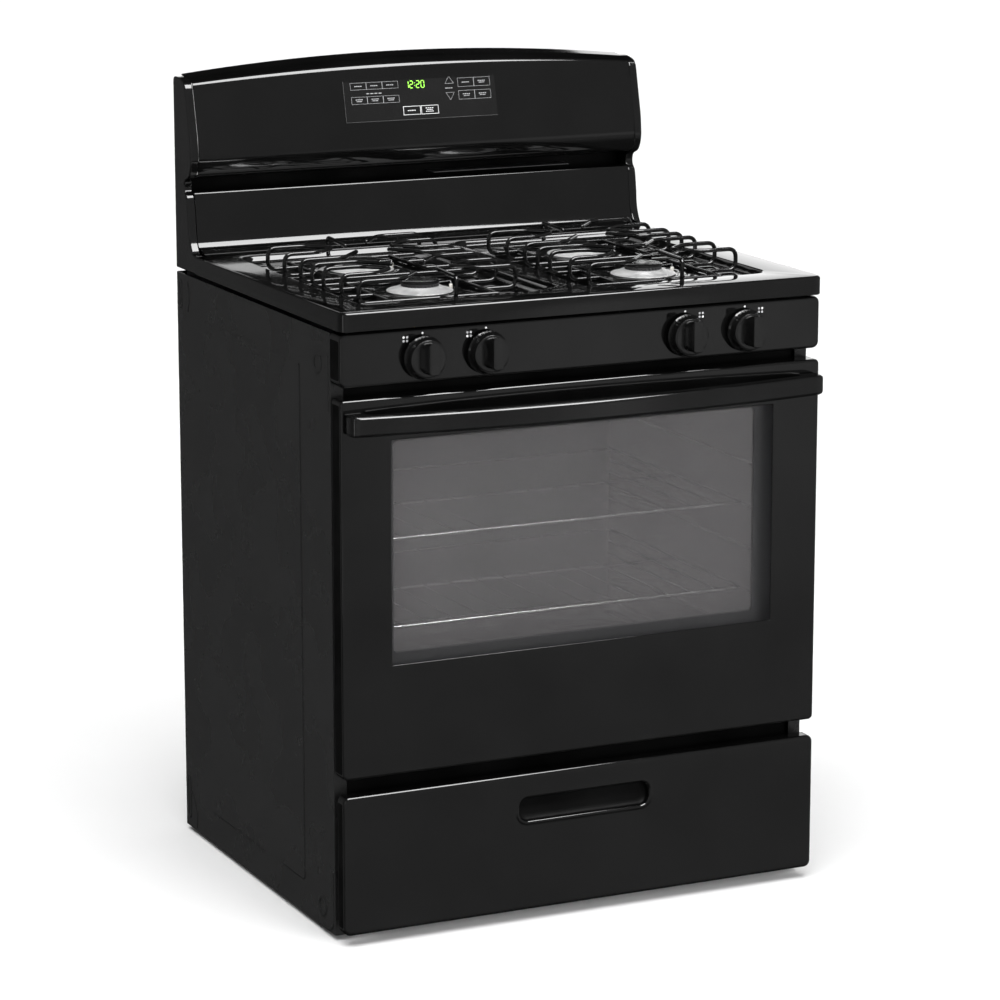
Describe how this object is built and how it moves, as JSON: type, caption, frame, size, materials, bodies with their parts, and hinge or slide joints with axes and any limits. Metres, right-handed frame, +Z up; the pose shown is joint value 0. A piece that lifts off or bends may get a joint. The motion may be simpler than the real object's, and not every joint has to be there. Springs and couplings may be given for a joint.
{
  "type": "freestanding gas range",
  "caption": "Black 30 inch freestanding gas range: open burners under wire grates, oven with a drop-down windowed door, curved backguard and a storage drawer.",
  "frame": {"origin": "on the floor under the middle of the range: halfway across its width and halfway between the front of the door handle and the rear panel", "axes": "+X to the right as the cook sees it, +Y to the rear wall, +Z up"},
  "size_m": [0.759, 0.692, 1.198],
  "materials": {
    "black_enamel": "gloss porcelain enamel",
    "galvanised_steel": "satin galvanised sheet",
    "dark_steel": "satin black paint",
    "oven_enamel": "speckled dark porcelain enamel",
    "chrome_wire": "bright plated wire",
    "valve_brass": "machined",
    "knob_plastic": "satin moulded plastic",
    "cast_aluminium": "as cast, fine grain",
    "matte_black_plastic": "matt",
    "cap_enamel": "satin black enamel",
    "grate_enamel": "gloss black enamelled wire",
    "gloss_black_plastic": "gloss moulded plastic",
    "touch_glass": "gloss black overlay with pale key outlines",
    "window_glass": "tinted, with a printed dark mesh",
    "gasket_fibre": "woven fibreglass"
  },
  "bodies": {
    "range_body": {"side_panel_left": "black_enamel", "side_panel_right": "black_enamel", "rear_panel": "galvanised_steel", "base_frame": "dark_steel", "leveling_leg_front_left": "galvanised_steel", "leveling_leg_front_right": "galvanised_steel", "leveling_leg_rear_left": "galvanised_steel", "leveling_leg_rear_right": "galvanised_steel", "front_frame": "black_enamel", "oven_liner": "oven_enamel", "oven_floor": "oven_enamel", "oven_burner": "galvanised_steel", "oven_rack_upper": "chrome_wire", "oven_rack_lower": "chrome_wire", "manifold_pipe": "galvanised_steel", "gas_valve_1": "valve_brass", "gas_valve_2": "valve_brass", "gas_valve_3": "valve_brass", "gas_valve_4": "valve_brass", "gas_regulator": "cast_aluminium", "power_inlet": "matte_black_plastic", "cooktop": "black_enamel", "burner_head_front_left": "cast_aluminium", "burner_head_front_right": "cast_aluminium", "burner_head_rear_left": "cast_aluminium", "burner_head_rear_right": "cast_aluminium", "burner_cap_front_left": "cap_enamel", "burner_cap_front_right": "cap_enamel", "burner_cap_rear_left": "cap_enamel", "burner_cap_rear_right": "cap_enamel", "control_panel": "black_enamel", "backguard_riser": "black_enamel", "backguard_hood": "black_enamel", "backguard_end_cap_left": "gloss_black_plastic", "backguard_end_cap_right": "gloss_black_plastic", "touch_panel": "touch_glass", "door_hinge_left": "galvanised_steel", "door_hinge_right": "galvanised_steel", "drawer_rail_left": "galvanised_steel", "drawer_rail_right": "galvanised_steel"},
    "oven_door": {"door_frame": "black_enamel", "door_outer_glass": "window_glass", "door_inner_panel": "oven_enamel", "door_inner_glass": "window_glass", "door_gasket": "gasket_fibre", "door_handle": "gloss_black_plastic"},
    "storage_drawer": {"drawer_front": "black_enamel", "drawer_pan": "galvanised_steel"},
    "stem_1": {"valve_stem_1": "valve_brass"},
    "stem_2": {"valve_stem_2": "valve_brass"},
    "stem_3": {"valve_stem_3": "valve_brass"},
    "stem_4": {"valve_stem_4": "valve_brass"},
    "turning_knob_1": {"knob_1": "knob_plastic"},
    "turning_knob_2": {"knob_2": "knob_plastic"},
    "turning_knob_3": {"knob_3": "knob_plastic"},
    "turning_knob_4": {"knob_4": "knob_plastic"},
    "loose_grate_front_left": {"grate_front_left": "grate_enamel"},
    "loose_grate_front_right": {"grate_front_right": "grate_enamel"},
    "loose_grate_rear_left": {"grate_rear_left": "grate_enamel"},
    "loose_grate_rear_right": {"grate_rear_right": "grate_enamel"}
  },
  "joints": [
    {"name": "door_hinge", "type": "hinge", "parent": "range_body", "child": "oven_door", "pos_m": [0, -0.264, 0.252], "axis": [1, 0, 0], "range_deg": [0, 90], "stiffness_Nm_per_rad": 12, "springref_deg": -20.05},
    {"name": "drawer_slide", "type": "slide", "parent": "range_body", "child": "storage_drawer", "axis": [0, -1, 0], "range_m": [0, 0.38]},
    {"name": "knob_push_1", "type": "slide", "parent": "range_body", "child": "stem_1", "axis": [0, 1, 0], "range_m": [0, 0.004], "stiffness_N_per_m": 800},
    {"name": "knob_push_2", "type": "slide", "parent": "range_body", "child": "stem_2", "axis": [0, 1, 0], "range_m": [0, 0.004], "stiffness_N_per_m": 800},
    {"name": "knob_push_3", "type": "slide", "parent": "range_body", "child": "stem_3", "axis": [0, 1, 0], "range_m": [0, 0.004], "stiffness_N_per_m": 800},
    {"name": "knob_push_4", "type": "slide", "parent": "range_body", "child": "stem_4", "axis": [0, 1, 0], "range_m": [0, 0.004], "stiffness_N_per_m": 800},
    {"name": "knob_turn_1", "type": "hinge", "parent": "stem_1", "child": "turning_knob_1", "pos_m": [-0.254, -0.3, 0.843], "axis": [0, 1, 0], "range_deg": [-210, 0]},
    {"name": "knob_turn_2", "type": "hinge", "parent": "stem_2", "child": "turning_knob_2", "pos_m": [-0.157, -0.3, 0.843], "axis": [0, 1, 0], "range_deg": [-210, 0]},
    {"name": "knob_turn_3", "type": "hinge", "parent": "stem_3", "child": "turning_knob_3", "pos_m": [0.157, -0.3, 0.843], "axis": [0, 1, 0], "range_deg": [-210, 0]},
    {"name": "knob_turn_4", "type": "hinge", "parent": "stem_4", "child": "turning_knob_4", "pos_m": [0.254, -0.3, 0.843], "axis": [0, 1, 0], "range_deg": [-210, 0]},
    {"name": "grate_lift_front_left", "type": "slide", "parent": "range_body", "child": "loose_grate_front_left", "axis": [0, 0, 1], "range_m": [0, 0.06]},
    {"name": "grate_lift_front_right", "type": "slide", "parent": "range_body", "child": "loose_grate_front_right", "axis": [0, 0, 1], "range_m": [0, 0.06]},
    {"name": "grate_lift_rear_left", "type": "slide", "parent": "range_body", "child": "loose_grate_rear_left", "axis": [0, 0, 1], "range_m": [0, 0.06]},
    {"name": "grate_lift_rear_right", "type": "slide", "parent": "range_body", "child": "loose_grate_rear_right", "axis": [0, 0, 1], "range_m": [0, 0.06]}
  ]
}
